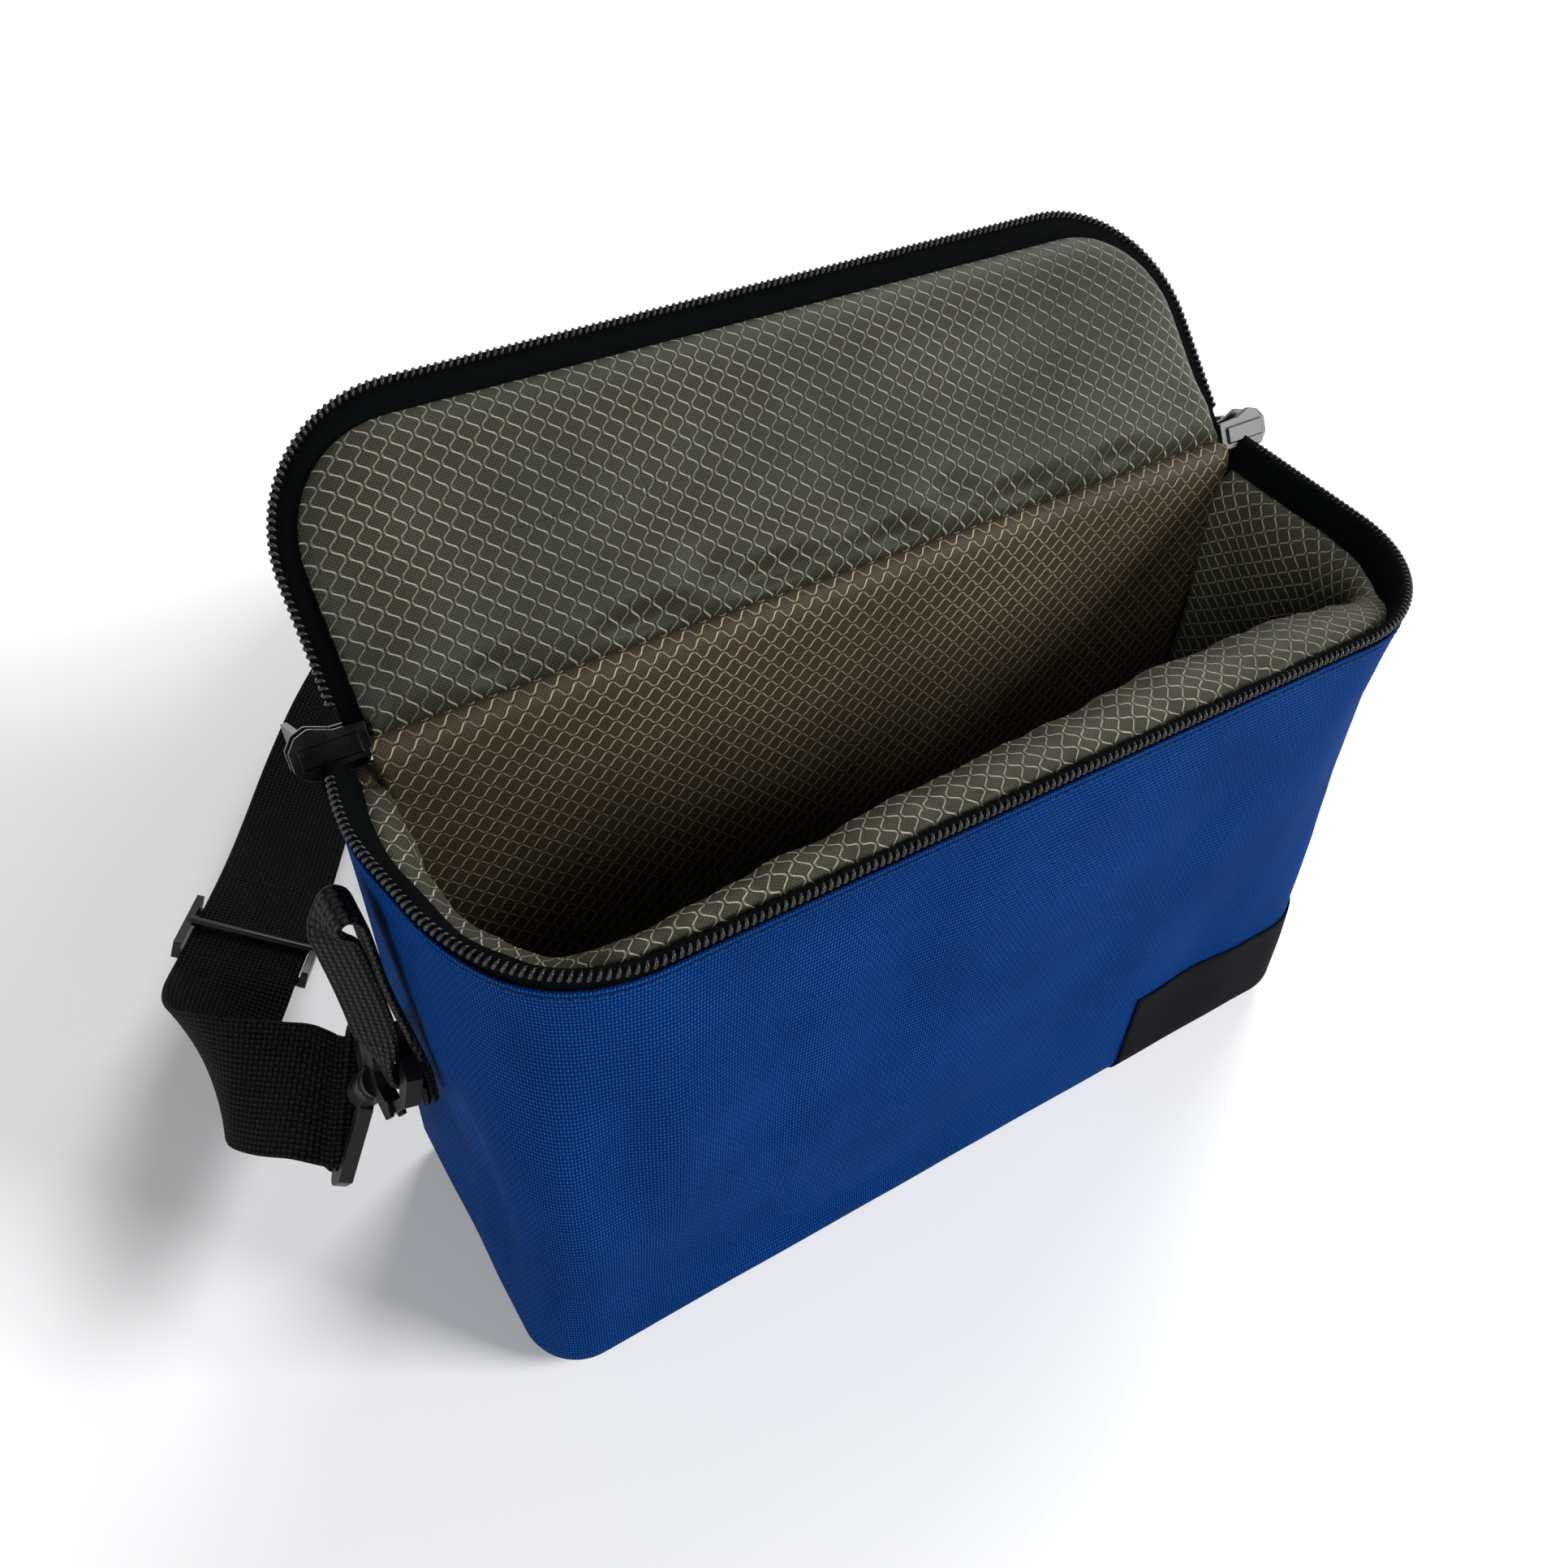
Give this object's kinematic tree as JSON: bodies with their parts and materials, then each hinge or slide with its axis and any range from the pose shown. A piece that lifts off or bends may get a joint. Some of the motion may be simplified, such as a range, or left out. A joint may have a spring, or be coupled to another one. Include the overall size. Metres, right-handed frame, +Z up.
{
  "type": "padded zip bag",
  "caption": "Padded box bag in blue fabric, its zip lid open, with a clip-on shoulder strap on swivel hooks.",
  "frame": {"origin": "middle of the base, on the surface that the bag stands on", "axes": "+X to the right along the bag's width, +Y to the back, +Z up"},
  "size_m": [0.415, 0.3635, 0.2416],
  "materials": {
    "blue_nylon": "coarse woven nylon, matt",
    "foam_core": "closed-cell foam sheet",
    "lining_cloth": "plain woven lining with raised pale threads",
    "zip_tape": "black zip tape",
    "zip_coil": "moulded nylon coil",
    "strap_webbing": "ribbed black webbing",
    "loop_webbing": "folded black webbing",
    "hook_plastic": "moulded, semi-gloss black",
    "gate_plastic": "moulded, semi-gloss black",
    "pin_steel": "plain steel pin",
    "slider_metal": "dark gloss enamel",
    "buckle_plastic": "moulded acetal",
    "label_cloth": "bare black woven label"
  },
  "bodies": {
    "root": {"shell_wrap": "blue_nylon", "shell_back": "blue_nylon", "shell_bottom": "blue_nylon", "hinge_strip": "blue_nylon", "woven_label": "label_cloth", "rim_zip_tape": "zip_tape", "rim_zip_coil": "zip_coil", "shoulder_strap": "strap_webbing", "foam_front": "foam_core", "lining_front": "lining_cloth", "foam_left": "foam_core", "lining_left": "lining_cloth", "foam_right": "foam_core", "lining_right": "lining_cloth", "foam_back": "foam_core", "lining_back": "lining_cloth", "foam_bottom": "foam_core", "lining_bottom": "lining_cloth", "side_loop_left": "loop_webbing", "hook_frame_left": "hook_plastic", "strap_fold_left": "strap_webbing", "zip_end_left": "zip_tape", "side_loop_right": "loop_webbing", "hook_frame_right": "hook_plastic", "strap_fold_right": "strap_webbing", "zip_end_right": "zip_tape"},
    "lid": {"lid_shell": "blue_nylon", "lid_foam": "foam_core", "lid_lining": "lining_cloth", "lid_zip_tape": "zip_tape", "lid_zip_coil": "zip_coil", "lid_hinge_flange": "blue_nylon"},
    "glide": {"tri_glide": "buckle_plastic"},
    "slider_left": {"zip_slider_left": "slider_metal"},
    "tab_left": {"pull_tab_left": "slider_metal"},
    "hook_left": {"hook_body_left": "hook_plastic", "gate_pin_left": "pin_steel"},
    "gate_left": {"hook_gate_left": "gate_plastic"},
    "slider_right": {"zip_slider_right": "slider_metal"},
    "tab_right": {"pull_tab_right": "slider_metal"},
    "hook_right": {"hook_body_right": "hook_plastic", "gate_pin_right": "pin_steel"},
    "gate_right": {"hook_gate_right": "gate_plastic"}
  },
  "joints": [
    {"name": "lid_hinge", "type": "hinge", "parent": "root", "child": "lid", "pos_m": [0, 0.04, 0.1848], "axis": [1, 0, 0], "range_deg": [-43, 137]},
    {"name": "glide_slide", "type": "slide", "parent": "root", "child": "glide", "axis": [0.4793, 0.8396, -0.2556], "range_m": [0, 0.015]},
    {"name": "slider_left_run", "type": "slide", "parent": "root", "child": "slider_left", "axis": [-1, 0, 0], "range_m": [0, 0.01]},
    {"name": "tab_left_swing", "type": "hinge", "parent": "slider_left", "child": "tab_left", "pos_m": [-0.154, 0.05195, 0.18179], "axis": [0, 0.5446, 0.8387], "range_deg": [-6, 80]},
    {"name": "hook_left_swivel", "type": "hinge", "parent": "root", "child": "hook_left", "pos_m": [-0.1715, 0.033, 0.064], "axis": [0.2881, -0.468, 0.8354], "range_deg": [-5, 5]},
    {"name": "gate_left_open", "type": "hinge", "parent": "hook_left", "child": "gate_left", "pos_m": [-0.16283, 0.00845, 0.08915], "axis": [-0.9453, 0, 0.3261], "range_deg": [0, 8], "stiffness_Nm_per_rad": 0.01},
    {"name": "slider_right_run", "type": "slide", "parent": "root", "child": "slider_right", "axis": [1, 0, 0], "range_m": [0, 0.01]},
    {"name": "tab_right_swing", "type": "hinge", "parent": "slider_right", "child": "tab_right", "pos_m": [0.154, 0.05195, 0.18179], "axis": [0, -0.5446, -0.8387], "range_deg": [-6, 80]},
    {"name": "hook_right_swivel", "type": "hinge", "parent": "root", "child": "hook_right", "pos_m": [0.1715, 0.033, 0.064], "axis": [-0.2881, -0.468, 0.8354], "range_deg": [-5, 5]},
    {"name": "gate_right_open", "type": "hinge", "parent": "hook_right", "child": "gate_right", "pos_m": [0.16283, 0.00845, 0.08915], "axis": [-0.9453, 0, -0.3261], "range_deg": [0, 8], "stiffness_Nm_per_rad": 0.01}
  ]
}
